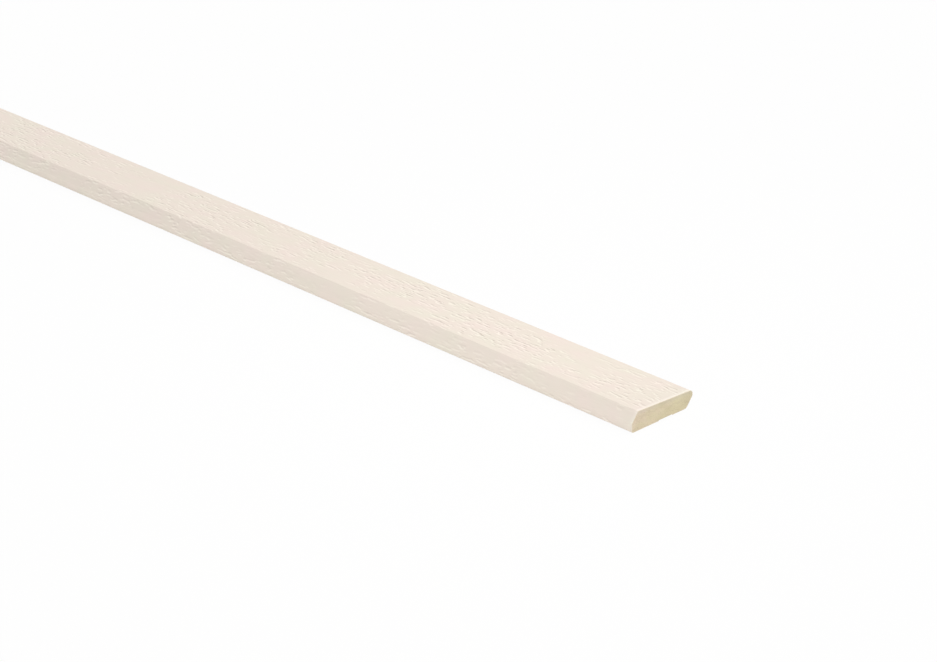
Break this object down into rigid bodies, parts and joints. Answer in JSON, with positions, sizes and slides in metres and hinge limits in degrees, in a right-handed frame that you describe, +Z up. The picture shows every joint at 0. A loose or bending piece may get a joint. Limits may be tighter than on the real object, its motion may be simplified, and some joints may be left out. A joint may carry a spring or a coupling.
{
  "type": "cover strip",
  "caption": "Flat glue-on cover strip of MDF wrapped in pale wood-decor foil, with one bevelled long edge, a face that falls gently and an undercut rounded tip on the other edge.",
  "frame": {"origin": "under the middle of the strip, on the plane that its back lies on", "axes": "+X along the strip's length, +Y across it from the bevelled edge to the rounded tip, +Z up from the back to the face"},
  "size_m": [2.4, 0.022, 0.0052],
  "materials": {
    "mdf": "matte",
    "decor_foil": "satin"
  },
  "bodies": {
    "root": {"mdf_core": "mdf", "decor_foil": "decor_foil"}
  },
  "joints": []
}
